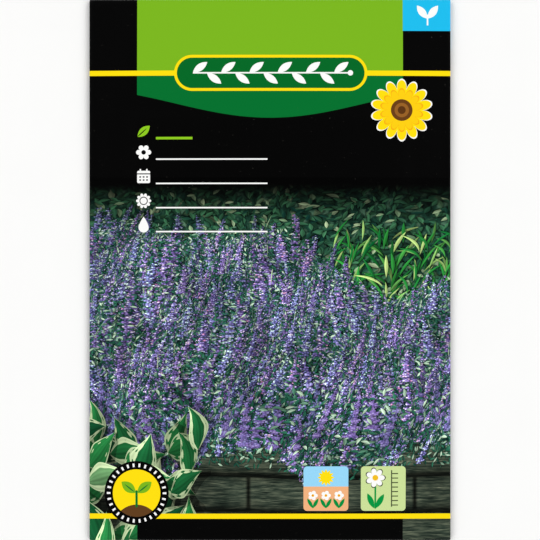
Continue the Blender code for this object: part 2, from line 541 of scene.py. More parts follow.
timberGrain = (
    (0.34, ink(12, 20, 18)),
    (0.48, ink(46, 58, 48)),
    (0.6, ink(92, 100, 82)),
    (0.7, ink(138, 142, 118)),
)
shrubShade = ((0.3, ink(6, 22, 18)), (0.52, ink(26, 62, 48)), (0.7, ink(84, 120, 96)))


spikeForm = {
    "jitter": 0.3,
    "clumpSize": 0.075,  # of the slow noise that gathers the spikes
    "clumpRagged": 0.16,
    "bedRagged": 9.0,
    "bow": 0.08,
    "whorls": 40.0,  # radians of wave along one spike
    "whorlDepth": 0.28,
    "floretStretch": (0.85, 1.2, 0.0),
    "floretSize": 1.8,
    "edge": (0.34, 1.7),
    "shade": (0.4, 0.2, -0.5),  # how far aside, how much wider and how dark
    "glow": (0.42, -0.58),  # at a floret's middle and at its rim
    "sideLight": -0.14,
}
leafForm = {
    "jitter": 0.3,
    "bedRagged": 5.0,
    "tufts": 0.11,  # for each mm across the bed
    "roundness": 1.7,
    "broadFoot": 0.32,
    "shade": (0.2, 0.15, -0.5),  # the same, in widths of the leaf
    "veins": 19.0,
    "creamEdge": (0.5, 0.35, 0.1),  # where it begins, how much that differs and how much it wanders
}


def makeSpikeLayer():
    form = spikeForm
    group, given, result = newGroup("spikeLayer", spikeInputs)
    place = afterUnder(given["Under"], given["Place"])
    local, chances = cellPlaces(place, given, form["jitter"])
    middle = place - local
    middleX, middleY, _ = separate(middle)
    red, green, blue = separate(chances)
    x, y, _ = separate(local)
    crowded = green * form["clumpRagged"] + noise(middle, form["clumpSize"], 1.0)
    lean = (blue - 0.5) * given["Lean"]
    bow = y * y * lean * form["bow"]
    across = x - y * lean - bow
    up = y / given["Length"] + 0.5
    taper = calc("SQRT", calc("MAXIMUM", 1.0 - up, 0.0))
    wave = calc("COSINE", up * form["whorls"] + red * 6.0)  # one whorl of florets for each wave
    whorl = wave * form["whorlDepth"] + (1.0 - form["whorlDepth"])
    reach = taper * whorl * given["HalfWidth"]
    gap, floretColour = cells(place * form["floretStretch"] + given["Draw"], form["floretSize"])
    edge = reach + (form["edge"][0] - gap) * form["edge"][1]
    tall = (up > 0.0) * (up < 1.0)
    there = tall * withinBed(middleX, middleY, given, form["bedRagged"], green) * (crowded > given["Clump"])
    shown = (abs(across) < edge) * there
    aside, wider, dark = form["shade"]
    shadow = (abs(across - aside) < reach + wider) * there
    under = given["Under"] * (shadow * dark + 1.0)
    pick, warm, _ = separate(floretColour)
    pick = (pick - 0.5) * given["Relief"] + 0.5
    rosy = remap(red + warm * 0.4, 0.35, 1.0)
    petals = mix(rosy, ramp(pick, *coolPetals), ramp(pick, *rosyPetals))
    glow = remap(gap, 0.12, 0.58, *form["glow"]) * given["Relief"] + 0.92
    side = across * form["sideLight"] + 1.0
    tier = wave * 0.2 + 0.95
    each = green * 0.5 + 0.72
    light = glow * side * each * given["Light"] * tier
    plug(result, mix(shown, under, petals * light))
    return group


def makeLeafLayer(name, veined=False):
    form = leafForm
    group, given, result = newGroup(name, leafInputs)
    place = afterUnder(given["Under"], given["Place"])
    local, chances = cellPlaces(place, given, form["jitter"])
    middleX, middleY, _ = separate(place - local)
    red, green, blue = separate(chances)
    there = withinBed(middleX, middleY, given, form["bedRagged"], green)
    tuft = 0.5 - calc("FRACT", middleX * form["tufts"])
    lean = tuft * given["Fan"] + (blue - 0.5) * given["Spread"]
    angle = lean + given["Angle"]
    along, straight, _ = separate(turn(local, angle * -1.0))
    across = straight - along * along * lean * given["Arch"]
    part = along / (given["Length"] * 0.5)
    if veined:  # widest nearer to its stalk
        part = (1.0 - part * part) * form["broadFoot"] + part
    reach = (1.0 - abs(part) ** form["roundness"]) * given["Width"] * 0.5
    shown = (abs(across) < reach) * there
    aside, wider, dark = form["shade"]
    low = abs(across + given["Width"] * aside)
    shadow = (low < given["Width"] * wider + reach) * there
    under = given["Under"] * (shadow * dark + 1.0)
    blade = mix(remap(red, 0.0, 0.7), given["Shade"], given["Body"])
    blade = mix(remap(red, given["Shining"], 1.0), blade, given["Shine"])
    light = (part * 0.18 + 1.0) * given["Light"]
    if veined:
        ratio = across / calc("MAXIMUM", reach, 0.05)
        vein = calc("COSINE", ratio * form["veins"])
        wander = calc("SINE", along * 1.9 + red * 50.0)
        start, differing, wandering = form["creamEdge"]
        edge = wander * wandering + green * differing + start
        streaked = vein * 0.13 + abs(ratio)
        blade = mix((streaked > edge) * 0.8, blade, given["Shine"])
        half = vein * 0.13 + remap(ratio, -0.25, 0.25, 0.72, 1.16, smooth=True)
    else:
        half = (across > 0.0) * 0.4 + 0.8
    plug(result, mix(shown, under, blade * (light * half)))
    return group


picture = {
    "top": 25.0,  # mm above the middle of the front; above this the front is plain black
    "clear": 10.0,  # the picture is at its full strength below this
    "halves": -22.0,  # the far and near halves are two materials, so that neither has every layer to work out
    "farScale": 0.72,
    "farAt": 8.0,
    "fan": 0.0085,  # how strongly the spikes spread outwards
    "fanFoot": -25.0,
    "upright": -24.0,  # where across the bed they stand straight up
    "growth": 0.0055,  # how much larger things get for each mm further down
    "crown": 67.0,  # where the bed's flowers end at the left, in the bed's own drawn-out depth
    "crownRight": 45.0,
    "near": -3.0,  # and where they begin
    "hem": 2.6,  # how far that edge wavers
    "strappyFrom": 20.0,
    "timber": 10.0,
    "timberFoot": -77.5,
    "timberLength": 46.0,
}
header = {
    "sideStrips": 36.75,
    "upperLine": 54.4,
    "lineHalf": 0.72,
    "black": ink(2, 2, 2),
    "leafGreen": ink(122, 181, 29),
    "deepGreen": ink(0, 112, 46),
    "plateGreen": ink(0, 104, 38),
    "yellow": ink(253, 222, 10),
    "blue": ink(28, 188, 236),
    "white": ink(250, 250, 248),
    "lime": ink(140, 200, 30),
    "paleBlue": ink(150, 214, 246),
    "violet": ink(128, 104, 180),
    "soil": ink(96, 62, 30),
    "tabFoot": (46.0, -4.0, 0.06),  # its middle height, its swing, and radians of wave for each mm
    "blueFoot": 66.15,
    "sprout": (43.6, 69.2),
    "plate": (0.2, 54.45),
    "plateHalf": (26.7, 5.0),
    "plateBorder": 0.78,
    "garlandHalf": (21.5, 0.2),
    "garlandStep": 3.9,
    "garlandEnd": 22.0,
    "bloom": (36.4, 44.2),
    "bloomRings": (
        (8.7, 14, ink(250, 250, 248)),
        (8.3, 14, ink(253, 222, 10)),
        (6.1, 14, ink(246, 176, 16)),
        (5.7, 14, ink(252, 206, 14)),
    ),
    "bloomDiscs": ((3.0, ink(104, 62, 22)), (2.0, ink(150, 96, 36)), (1.1, ink(92, 52, 16))),
}
writing = {
    "left": -36.7,
    "signAt": 1.8,  # from the left end to the middle of the signs
    "signRoom": 5.2,
    "signRise": 1.9,  # from a line up to the middle of its sign
    "length": 36.0,
    "lines": (30.6, 23.9, 17.2, 10.6),
    "lineHalf": 0.2,
    "limeLine": 36.4,
    "limeLength": 15.3,
    "limeHalf": 0.35,
}
footer = {
    "lowerLine": -68.1,
    "bandTop": -68.75,
}
seal = {
    "middle": (-36.9, -61.7),
    "outer": 8.9,
    "inner": 6.6,
    "ticks": 30,
    "tickRadius": 7.75,
    "tickHalf": (0.16, 0.5),  # part of its own share of the ring, and mm along it
}
tiles = {
    "half": (6.2, 6.2),
    "corner": 1.0,
    "sun": (15.45, -60.4),
    "height": (31.3, -60.4),
    "plants": (-3.6, 0.0, 3.6),
    "rulerStep": 1.25,
    "sand": ink(240, 178, 128),
    "leaf": ink(0, 140, 62),
    "heart": ink(240, 170, 20),
    "paleLime": ink(202, 222, 152),
    "dark": ink(70, 80, 50),
    "tallLeaf": ink(0, 148, 64),
    "tallHeart": ink(240, 190, 30),
}


def printPlace(tree):  # millimetres from the middle of the front, following the sheet
    uv = tree.nodes.new("ShaderNodeUVMap")
    uv.uv_map = "Sheet"
    return Value(uv.outputs[0]) * (printUnit / mm, printUnit / mm, 0.0)


def inBox(place, middle, half, corner=0.001):
    away = abs(place - (*middle, 0.0))
    past = calc("MAXIMUM", away - (half[0] - corner, half[1] - corner, 1.0), 0.0)
    return calc("LENGTH", past) < corner


def inDisc(place, middle, radius):
    return calc("DISTANCE", place, (*middle, 0.0)) < radius


def inLeaf(place, middle, angle, length, width):
    local = turn(place - (*middle, 0.0), -math.radians(angle))
    along, across, _ = separate(local)
    part = along / (length / 2)
    return abs(across) < (1.0 - part * part) * (width / 2)


def leafPair(place, middle, aside, lean, length, width):  # two leaves, leaning out to either side
    x, y = middle
    return [inLeaf(place, (x + side * aside, y), 90 - side * lean, length, width) for side in (-1, 1)]


def inDrop(place, middle, radius, rise):  # round at the foot and drawn up to a tip
    x, y, _ = separate(place - (*middle, 0.0))
    drawnIn = (calc("MAXIMUM", y, 0.0) / rise) ** 1.5
    reach = drawnIn * -radius + radius
    return calc("LENGTH", combine(x, calc("MINIMUM", y, 0.0))) < reach


def polar(place, middle):
    local = place - (*middle, 0.0)
    x, y, _ = separate(local)
    return calc("ARCTAN2", y, x), calc("LENGTH", local)


def inBloom(place, middle, radius, petals, depth=0.42, startAngle=0.0):
    angle, away = polar(place, middle)
    lobe = abs(calc("COSINE", (angle + math.radians(startAngle)) * (petals / 2)))
    return away < lobe ** 0.55 * (radius * depth) + radius * (1.0 - depth)


wear = {
    "sideCrest": (sideX + foldArc / 2) / mm,
    "sideRun": 0.32,  # mm to either side of the crest
    "endCrest": (foldY + foldRadius * math.pi / 2) / mm,
    "endRun": 0.7,
    "fibre": ink(214, 209, 196),
    "strength": 0.5,
}


def wornFolds(place, colour):  # paper showing through where the folds have rubbed
    place = afterUnder(colour, place)
    x, y, _ = separate(abs(place))
    fromSide = abs(x - wear["sideCrest"])
    fromEnd = abs(y - wear["endCrest"])
    near = remap(fromSide, 0.0, wear["sideRun"], 1.0, 0.0) + remap(fromEnd, 0.0, wear["endRun"], 1.0, 0.0)
    rubbed = near * 0.2 + noise(place, 2.4, 5.0)
    return mix(remap(rubbed, 0.72, 0.82, 0.0, wear["strength"]), colour, wear["fibre"])


inkFinish = {
    "grain": 5.0,
    "roughness": (0.30, 0.38),
    "gloss": 0.08,
    "bump": (0.06, 0.05 * mm),  # how strong and how deep
}


def finishInk(shader, place, colour):
    grain = noise(place, inkFinish["grain"], 3.0)
    plug(shader.inputs["Base Color"], wornFolds(place, colour))
    plug(shader.inputs["Roughness"], remap(grain, 0.3, 0.7, *inkFinish["roughness"]))
    plug(shader.inputs["Specular IOR Level"], inkFinish["gloss"])
    emboss(shader, grain, *inkFinish["bump"])


def fleckedGround(place):  # florets and small leaves too far off to tell apart
    gap, fleck = cells(place, 1.7)
    pick, _, _ = separate(fleck)
    patch = noise(place, 0.22, 3.0)
    colour = ramp(patch * 0.9 + pick * 0.8 - 0.4, *farFlecks)
    return colour * remap(gap, 0.1, 0.6, 1.3, 0.35)


def printEdging(place):  # two rounded timbers along the foot of the bed
    x, y, _ = separate(place)
    coarse = noise(place * (0.12, 1.5, 0.0), 1.0, 5.0)
    fine = noise(place * (0.35, 6.0, 0.0), 1.0, 3.0)
    wood = ramp(fine * 0.45 + coarse * 0.55, *timberGrain)
    waved = calc("SINE", x * 0.09) * 0.5 + y
    course = (waved - picture["timberFoot"]) / picture["timber"]
    off = calc("FRACT", course) * 2.0 - 1.15
    shifted = calc("FLOOR", course) * 0.63 + x / picture["timberLength"]
    joint = abs(calc("FRACT", shifted) - 0.5)
    bend = (1.0 - abs(off) ** 3.0) * remap(joint, 0.004, 0.02, 0.1, 1.0)
    return wood * calc("MAXIMUM", bend, 0.1)


def plant(layer, colour, bed, number, draw, light, **look):  # draw and light: a start and a step
    return useGroup(
        layer, Under=colour, Place=bed, Draw=(draw[0] + number * draw[1],) * 3,
        Light=light[0] + number * light[1], **look,
    )


def plantShrubs(bed, colour, leaves):  # behind the bed, the leaves smaller from layer to layer
    for number in range(7):
        size = 6.2 - 0.45 * number
        colour = plant(
            leaves, colour, bed, number, draw=(2.0, 7.31), light=(0.45, 0.16), Cell=(size, size, 1.0),
            Length=0.8 * size, Width=0.3 * size, Shining=0.86, Arch=0.05,
            Body=ink(50, 96, 66), Shine=ink(146, 164, 128),
        )
    return colour


def plantTufts(bed, colour, leaves):  # strappy leaves at the back of the bed
    for number in range(12):
        colour = plant(
            leaves, colour, bed, number, draw=(40.0, 3.77), light=(0.42, 0.075), Cell=(7.4, 10.5, 1.0),
            Length=8.2, Width=0.8, Spread=0.9, Fan=1.6, Arch=0.07, Shining=0.6,
            Shade=ink(0, 84, 40), Body=ink(52, 158, 62), Shine=ink(190, 216, 132),
            Top=picture["crown"] - 1.0, Bottom=picture["crownRight"] - 8.0,
            Left=picture["strappyFrom"] - 0.8 * number,
        )
    return colour


def plantSpikes(bed, colour, leaves, spikes, crown, near):
    for number in range(6):
        colour = plant(
            leaves, colour, bed, number, draw=(71.0, 5.13), light=(0.7, 0.08), Top=crown, Bottom=near - 6.0,
        )
        colour = plant(
            spikes, colour, bed, number, draw=(11.0, 9.17), light=(0.8, 0.1),
            Top=crown - (number - 4.0), Bottom=near + 1.0,
        )
        if number % 2 == 0:
            colour = plant(  # bare stems between them
                leaves, colour, bed, number, draw=(57.0, 2.93), light=(0.75, 0.1), Cell=(4.6, 9.0, 1.0),
                Length=6.6, Width=0.26, Spread=1.1, Arch=0.09,
                Shade=ink(16, 40, 34), Body=ink(80, 118, 88), Shine=ink(166, 190, 150),
                Top=crown, Bottom=near,
            )
    return colour


def plantNearSpikes(bed, colour, leaves, spikes, near):  # larger and softer, in front of the rest
    for number in range(3):
        colour = plant(
            leaves, colour, bed, number, draw=(93.0, 3.41), light=(0.85, 0.1), Cell=(2.9, 2.9, 1.0),
            Length=2.3, Width=0.75, Arch=0.1, Shining=0.7, Top=12.0, Bottom=near - 3.0,
        )
        colour = plant(
            spikes, colour, bed, number, draw=(31.0, 4.37), light=(0.84, 0.08), Cell=(10.5, 17.0, 1.0),
            Length=14.0, HalfWidth=1.9, Lean=0.7, Relief=0.6, Clump=0.5, Top=14.0, Bottom=near + 2.0,
        )
    return colour


def plantNearCorner(bed, colour):  # broad cream-edged leaves
    broadLeaves = makeLeafLayer("broadLeafLayer", True)
    for number in range(7):
        colour = plant(
            broadLeaves, colour, bed, number, draw=(23.0, 6.91), light=(0.5, 0.1), Cell=(17.0, 17.0, 1.0),
            Length=13.5, Width=7.6, Angle=0.8, Spread=2.6, Arch=0.02, Shining=0.97,
            Shade=ink(4, 62, 38), Body=ink(36, 124, 62), Shine=ink(206, 224, 176),
            Top=4.0, Bottom=-30.0, Right=-17.0,
        )
    return colour


def bedPlace(x, y):  # where the bed lies as its plants are drawn, and its depth
    scale = y * -picture["growth"] + (picture["farScale"] + picture["growth"] * picture["farAt"])
    depth = calc("LOGARITHM", scale, math.e) / -picture["growth"]
    sway = calc("SINE", y * 0.085 + x * 0.06) * 1.6
    drift = calc("SINE", y * 0.15 + x * -0.21) * 1.5
    fan = (y - picture["fanFoot"]) * (picture["upright"] - x) * picture["fan"]
    return combine(drift + (sway + x / scale + fan), depth), depth


def printBed(place, farHalf):
    leaves = makeLeafLayer("leafLayer")
    x, y, _ = separate(place)
    bed, depth = bedPlace(x, y)
    swayed = calc("SINE", x * 0.13 + 0.7) * 2.6 + calc("SINE", x * 0.31)
    crown = swayed + remap(x, -6.0, 34.0, picture["crown"], picture["crownRight"], smooth=True)
    hem = calc("SINE", x * 0.34 + 1.0) * 0.4 + calc("SINE", x * -0.115 + 0.5)
    near = hem * picture["hem"] + picture["near"]
    if farHalf:
        colour = ramp(noise(place, 0.35, 4.0), *shrubShade)
        colour = plantShrubs(bed, colour, leaves)
        colour = plantTufts(bed, colour, leaves)
    else:
        colour = printEdging(place)
    wander = noise(afterUnder(colour, place), 0.5, 3.0) * 8.0 + depth
    planted = (wander < crown) * (wander > near)
    colour = mix(planted, colour, fleckedGround(afterUnder(colour, bed)))
    spikes = makeSpikeLayer()
    colour = plantSpikes(bed, colour, leaves, spikes, crown, near)
    if not farHalf:
        colour = plantNearSpikes(bed, colour, leaves, spikes, near)
        colour = plantNearCorner(bed, colour)
    tone = remap(noise(place, 0.07, 4.0), 0.33, 0.67, 0.7, 1.44)
    fade = remap(y, picture["clear"], picture["top"] - 1.0, 1.0, 0.0, smooth=True)
    return colour * (tone * fade)


def printSigns(place, colour, rows):  # a leaf, flower, calendar, sun and drop before the write-in lines
    x = writing["left"] + writing["signAt"]
    white, black = header["white"], header["black"]

    def leaf(y):
        return (
            (inLeaf(place, (x, y), 42, 4.6, 2.2), header["lime"]),
            (inLeaf(place, (x - 0.5, y - 0.4), 42, 4.0, 0.3), black),
        )

    def flower(y):
        return (inBloom(place, (x, y), 2.1, 6, 0.45), white), (inDisc(place, (x, y), 0.62), black)

    def calendar(y):
        days = [(column, row) for column in (-0.95, 0.0, 0.95) for row in (-0.1, -0.95)]
        return (
            (inBox(place, (x, y - 0.1), (1.8, 1.7), 0.4), white),
            (inBox(place, (x, y + 0.75), (1.8, 0.15)), black),
            *((inBox(place, (x + side, y + 1.7), (0.2, 0.4), 0.1), white) for side in (-0.9, 0.9)),
            *((inBox(place, (x + column, y + row), (0.24, 0.2)), black) for column, row in days),
        )

    def sun(y):
        return (
            (inBloom(place, (x, y), 2.1, 10, 0.4), white),
            (inDisc(place, (x, y), 1.15), black),
            (inDisc(place, (x, y), 0.9), white),
        )

    def drop(y):
        return ((inDrop(place, (x, y - 0.75), 1.4, 3.0), white),)

    lines = (writing["limeLine"], *writing["lines"])
    for row in rows:
        sign = (leaf, flower, calendar, sun, drop)[row]
        colour = paint(colour, *sign(lines[row] + writing["signRise"]))
    return colour


def printWriteInLines(place, colour, rows):
    place = afterUnder(colour, place)
    start = writing["left"] + writing["signRoom"]
    for row in rows:
        length = writing["length"] if row else writing["limeLength"]
        height = writing["lines"][row - 1] if row else writing["limeLine"]
        half = writing["lineHalf"] if row else writing["limeHalf"]
        end = writing["left"] + length
        line = inBox(place, ((start + end) / 2, height), ((end - start) / 2, half))
        colour = mix(line, colour, header["white"] if row else header["lime"])
    return printSigns(afterUnder(colour, place), colour, rows)


def printSeal(place, colour):
    place = afterUnder(colour, place)
    middle = seal["middle"]
    x, y = middle
    angle, away = polar(place, middle)
    turnPart = calc("FRACT", angle * (seal["ticks"] / math.tau) + 0.5)
    tickWide = abs(turnPart - 0.5) < seal["tickHalf"][0]
    tickLong = abs(away - seal["tickRadius"]) < seal["tickHalf"][1]
    disc = inDisc(place, middle, seal["inner"])
    colour = paint(
        colour,
        (inDisc(place, middle, seal["outer"]), header["black"]),
        (tickWide * tickLong, header["white"]),
        (disc, header["yellow"]),
        (disc * inDisc(place, (x, y - 9.6), 6.4), header["soil"]),
        (inBox(place, (x, y - 1.6), (0.32, 2.4), 0.3), header["deepGreen"]),
    )
    leaves = leafPair(place, (x, y + 1.6), 2.2, 52, 5.0, 2.7)
    veins = leafPair(place, (x, y + 1.35), 1.9, 52, 3.8, 0.35)
    for leaf, vein in zip(leaves, veins):
        colour = paint(colour, (leaf, header["leafGreen"]), (vein, header["deepGreen"]))
    return colour


def printSunTile(place, colour):
    place = afterUnder(colour, place)
    x, y = tiles["sun"]
    tile = inBox(place, (x, y), tiles["half"], tiles["corner"])
    _, height, _ = separate(place)
    angle, away = polar(place, (x, y + 3.1))
    rays = calc("COSINE", angle * 12.0) * 0.35 + 1.9
    colour = paint(
        colour,
        (tile, header["paleBlue"]),
        (tile * (height < y + 0.6), tiles["sand"]),
        (away < rays, header["yellow"]),
    )
    for aside in tiles["plants"]:
        bloomAt = (x + aside, y - 1.9)
        colour = paint(
            colour,
            *((leaf, tiles["leaf"]) for leaf in leafPair(place, (x + aside, y - 4.1), 0.75, 30, 3.2, 0.95)),
            (inBloom(place, bloomAt, 1.35, 5), header["white"]),
            (inDisc(place, bloomAt, 0.38), tiles["heart"]),
        )
    return colour


def printHeightTile(place, colour):
    place = afterUnder(colour, place)
    x, y = tiles["height"]
    plantX = x - 2.2
    bloomAt = (plantX, y + 3.0)
    _, height, _ = separate(place)
    phase = calc("FRACT", height / tiles["rulerStep"] + 0.5)
    marks = (abs(phase - 0.5) < 0.12) * inBox(place, (x + 3.2, y), (0.9, 5.0))
    return paint(
        colour,
        (inBox(place, (x, y), tiles["half"], tiles["corner"]), tiles["paleLime"]),
        (inLeaf(place, (plantX - 1.25, y - 3.4), 114, 4.6, 1.5), tiles["tallLeaf"]),
        (inLeaf(place, (plantX + 1.25, y - 3.5), 60, 4.6, 1.5), tiles["tallLeaf"]),
        (inBox(place, (plantX, y - 2.0), (0.24, 3.6), 0.2), tiles["tallLeaf"]),
        (inBloom(place, bloomAt, 2.9, 7, 0.5), tiles["dark"]),
        (inBloom(place, bloomAt, 2.6, 7, 0.5), header["white"]),
        (inDisc(place, bloomAt, 0.8), tiles["tallHeart"]),
        (inBox(place, (x + 2.3, y), (0.16, 5.1)), tiles["dark"]),
        (marks, tiles["dark"]),
    )


def makeFarPicture():
    material, tree, shader = newMaterial("farPicture")
    place = printPlace(tree)
    colour = printBed(place, farHalf=True)
    colour = printWriteInLines(place, colour, (2, 3, 4))
    finishInk(shader, place, colour)
    return material


def makeNearPicture():
    material, tree, shader = newMaterial("nearPicture")
    place = printPlace(tree)
    x, y, _ = separate(place)
    colour = printBed(place, farHalf=False)
    colour = paint(
        colour,
        ((abs(x) < header["sideStrips"]) * (y < footer["bandTop"]), header["black"]),
        (abs(y - footer["lowerLine"]) < header["lineHalf"], header["yellow"]),
    )
    colour = printSunTile(place, colour)
    colour = printHeightTile(place, colour)
    colour = printSeal(place, colour)
    finishInk(shader, place, colour)
    return material


def printTab(place):  # the green tab, its yellow line and the blue square with its sprout
    x, y, _ = separate(place)
    middle, swing, waves = header["tabFoot"]
    foot = calc("COSINE", x * waves) * swing + middle
    tabWide = abs(x) < header["sideStrips"]
    square = (x > header["sideStrips"]) * (y > header["blueFoot"])
    sproutX, sproutY = header["sprout"]
    return paint(
        mix(tabWide * (y > foot), header["black"], header["deepGreen"]),
        (tabWide * (y > header["upperLine"]), header["leafGreen"]),
        (abs(y - header["upperLine"]) < header["lineHalf"], header["yellow"]),
        (square, header["blue"]),
        *((leaf, header["white"]) for leaf in leafPair(place, (sproutX, sproutY + 2.2), 1.5, 38, 4.6, 2.0)),
        (inBox(place, (sproutX, sproutY), (0.22, 1.5)), header["white"]),
    )


def printPlate(place, colour):  # the green plate with its garland
    plate, half = header["plate"], header["plateHalf"]
    within = (half[0] - header["plateBorder"], half[1] - header["plateBorder"])
    colour = paint(
        colour,
        (inBox(place, plate, half, half[1]), header["yellow"]),
        (inBox(place, plate, within, within[1]), header["plateGreen"]),
        (inBox(place, plate, header["garlandHalf"], 0.1), header["white"]),
    )
    place = afterUnder(colour, place)
    for number in range(-5, 6):
        side = 1 if number % 2 else -1
        at = (plate[0] + number * header["garlandStep"], plate[1] + side * 1.55)
        colour = mix(inLeaf(place, at, side * 36, 4.9, 1.95), colour, header["white"])
    return mix(inDisc(place, (plate[0] + header["garlandEnd"], plate[1]), 0.75), colour, header["white"])


def printHeaderBloom(place, colour):
    place = afterUnder(colour, place)
    middle = header["bloom"]
    for radius, petals, filling in header["bloomRings"]:
        colour = mix(inBloom(place, middle, radius, petals, 0.34, 90.0), colour, filling)
    for radius, filling in header["bloomDiscs"]:
        colour = mix(inDisc(place, middle, radius), colour, filling)
    return colour


def makeHeader():
    material, tree, shader = newMaterial("headerPrint")
    place = printPlace(tree)
    colour = printPlate(place, printTab(place))
    colour = printHeaderBloom(place, colour)
    colour = printWriteInLines(place, colour, (0, 1, 2))
    finishInk(shader, place, colour)
    return material


back = {
    "ground": ink(244, 241, 230),
    "frame": (46.5, 71.0),  # half sizes of the pale panel inside the black frame
    "frameCorner": 3.0,
    "grey": ink(120, 122, 116),
    "months": 12,
    "barAt": 34.0,
    "barCell": (6.0, 4.2),
    "barLine": 0.16,
    "sowing": (2, 5),  # first and last month filled in each row
    "flowering": (5, 9),
    "icons": (-27.0, 0.0, 27.0),
    "iconsAt": 12.0,
    "iconRadius": 8.0,
    "iconGrounds": (ink(150, 214, 246), ink(214, 236, 246), ink(240, 206, 160)),
    "sunRays": ink(250, 196, 30),
    "noteLines": 6,
    "noteTop": -4.0,
    "noteStep": 4.4,
    "noteHalf": (40.0, 0.14),
    "stages": (-31.5, -10.5, 10.5, 31.5),
    "soilLine": -50.0,
    "earth": ink(122, 84, 48),
    "seed": ink(44, 26, 12),
}


def backPlace(place):  # the same millimetres as seen from behind, whichever half of the back they lie on
    u, v, _ = separate(place)
    width = (2 * sideX + foldArc) / mm
    return combine(calc("SIGN", u) * -width + u, v)


def printMonths(place, colour):
    place = afterUnder(colour, place)
    x, y, _ = separate(place)
    height, (cellX, cellY) = back["barAt"], back["barCell"]
    half = cellX * back["months"] / 2
    rows = (
        (height + cellY / 2, back["sowing"], header["leafGreen"]),
        (height - cellY / 2, back["flowering"], header["violet"]),
    )
    for rowY, (first, last), filling in rows:
        bar = ((first + last + 1) / 2 * cellX - half, rowY)
        colour = mix(inBox(place, bar, ((last + 1 - first) / 2 * cellX, cellY / 2)), colour, filling)
    box = inBox(place, (0.0, height), (half + back["barLine"], cellY + back["barLine"]))
    upright, level = (
        abs(calc("FRACT", away / step + 0.5) - 0.5) * step < back["barLine"]
        for away, step in ((x, cellX), (y - height, cellY))
    )
    return mix(box * calc("MAXIMUM", upright, level), colour, back["grey"])


def printCareIcons(place, colour):
    height = back["iconsAt"]
    sunX, dropX, gapX = back["icons"]
    place = afterUnder(colour, place)
    for x, ground in zip(back["icons"], back["iconGrounds"]):
        colour = mix(inDisc(place, (x, height), back["iconRadius"]), colour, ground)
    colour = paint(
        colour,
        (inBloom(place, (sunX, height), 5.6, 12, 0.36), back["sunRays"]),
        (inDisc(place, (sunX, height), 3.0), header["yellow"]),
    )
    place = afterUnder(colour, place)
    colour = paint(
        colour,
        (inDrop(place, (dropX, height - 1.6), 3.2, 6.8), header["blue"]),
        (inBox(place, (gapX, height - 2.8), (5.6, 0.35)), header["soil"]),
    )
    for side in (-1, 1):
        for leaf in leafPair(place, (gapX + side * 3.6, height - 0.6), 1.0, 34, 4.2, 1.5):
            colour = mix(leaf, colour, header["deepGreen"])
    return mix(inBox(place, (gapX, height - 4.6), (3.6, 0.25)), colour, header["black"])


def printNoteLines(place, colour):
    place = afterUnder(colour, place)
    for number in range(back["noteLines"]):
        middle = (0.0, back["noteTop"] - number * back["noteStep"])
        colour = mix(inBox(place, middle, back["noteHalf"]), colour, back["grey"])
    return colour


def printGrowthStages(place, colour):
    soil = back["soilLine"]
    place = afterUnder(colour, place)
    colour = mix(inBox(place, (0.0, soil - 1.7), (41.0, 1.7), 1.0), colour, back["earth"])
    for number, x in enumerate(back["stages"]):
        place = afterUnder(colour, place)
        colour = mix(inLeaf(place, (x, soil - 1.6), 10, 1.9, 1.3), colour, back["seed"])
        for pair in range(number):
            for leaf in leafPair(place, (x, soil + 1.9 + pair * 3.0), 1.7, 48, 4.2, 1.7):
                colour = mix(leaf, colour, header["leafGreen"])
        stem = inBox(place, (x, soil + number * 1.8), (0.22, number * 1.8))
        colour = mix(stem, colour, header["deepGreen"])
    for bud, aside in enumerate((0.6, -0.3, 0.6, -0.3)):
        middle = (back["stages"][-1] + aside, soil + 10.6 + bud * 1.15)
        colour = mix(inDisc(place, middle, 1.15 - bud * 0.18), colour, header["violet"])
    return colour


def makeBackPrint():
    material, tree, shader = newMaterial("backPrint")
    sheetPlace = printPlace(tree)
    place = backPlace(sheetPlace)
    _, y, _ = separate(place)
    panel = inBox(place, (0.0, 0.0), back["frame"], back["frameCorner"])
    colour = mix(panel, header["black"], back["ground"])
    colour = mix(panel * (y > header["upperLine"]), colour, header["deepGreen"])
    for height in (header["upperLine"], footer["lowerLine"]):
        colour = mix(abs(y - height) < header["lineHalf"], colour, header["yellow"])
    for printed in (printMonths, printCareIcons, printNoteLines, printGrowthStages):
        colour = printed(place, colour)
    finishInk(shader, sheetPlace, colour)
    return material


paperFinish = {
    "shades": ((0.3, ink(214, 209, 196)), (0.5, ink(233, 229, 218)), (0.7, ink(243, 240, 231))),
    "fibres": 2.2,
    "clouds": 0.35,
    "roughness": (0.78, 0.92),
    "gloss": 0.2,
    "bump": (0.25, 0.04 * mm),
}


def makeBarePaper():
    material, tree, shader = newMaterial("barePaper")
    place = printPlace(tree)
    fibres = noise(place * (1.0, 3.2, 0.0), paperFinish["fibres"], 6.0)
    clouds = noise(place, paperFinish["clouds"], 3.0)
    colour = ramp(fibres * 0.6 + clouds * 0.4, *paperFinish["shades"])
    plug(shader.inputs["Base Color"], colour)
    plug(shader.inputs["Roughness"], remap(fibres, 0.3, 0.7, *paperFinish["roughness"]))
    plug(shader.inputs["Specular IOR Level"], paperFinish["gloss"])
    emboss(shader, fibres, *paperFinish["bump"])
    return material


envelopeMap = {
    "size": 1024.0,
    "outer": [  # from, to across the sheet in mm; pixels for each mm; lower left corner in pixels
        (-50.35, 50.35, 5.7, (6.0, 4.0)),
        (-200.0, -50.35, 3.2, (596.0, 450.0)),
        (50.35, 200.0, 3.2, (792.0, 450.0)),
    ],
    "inner": (1.95, (596.0, 90.0)),
    "edges": (1.95, (596.0, 16.0)),
    "strip": 8.0,
}


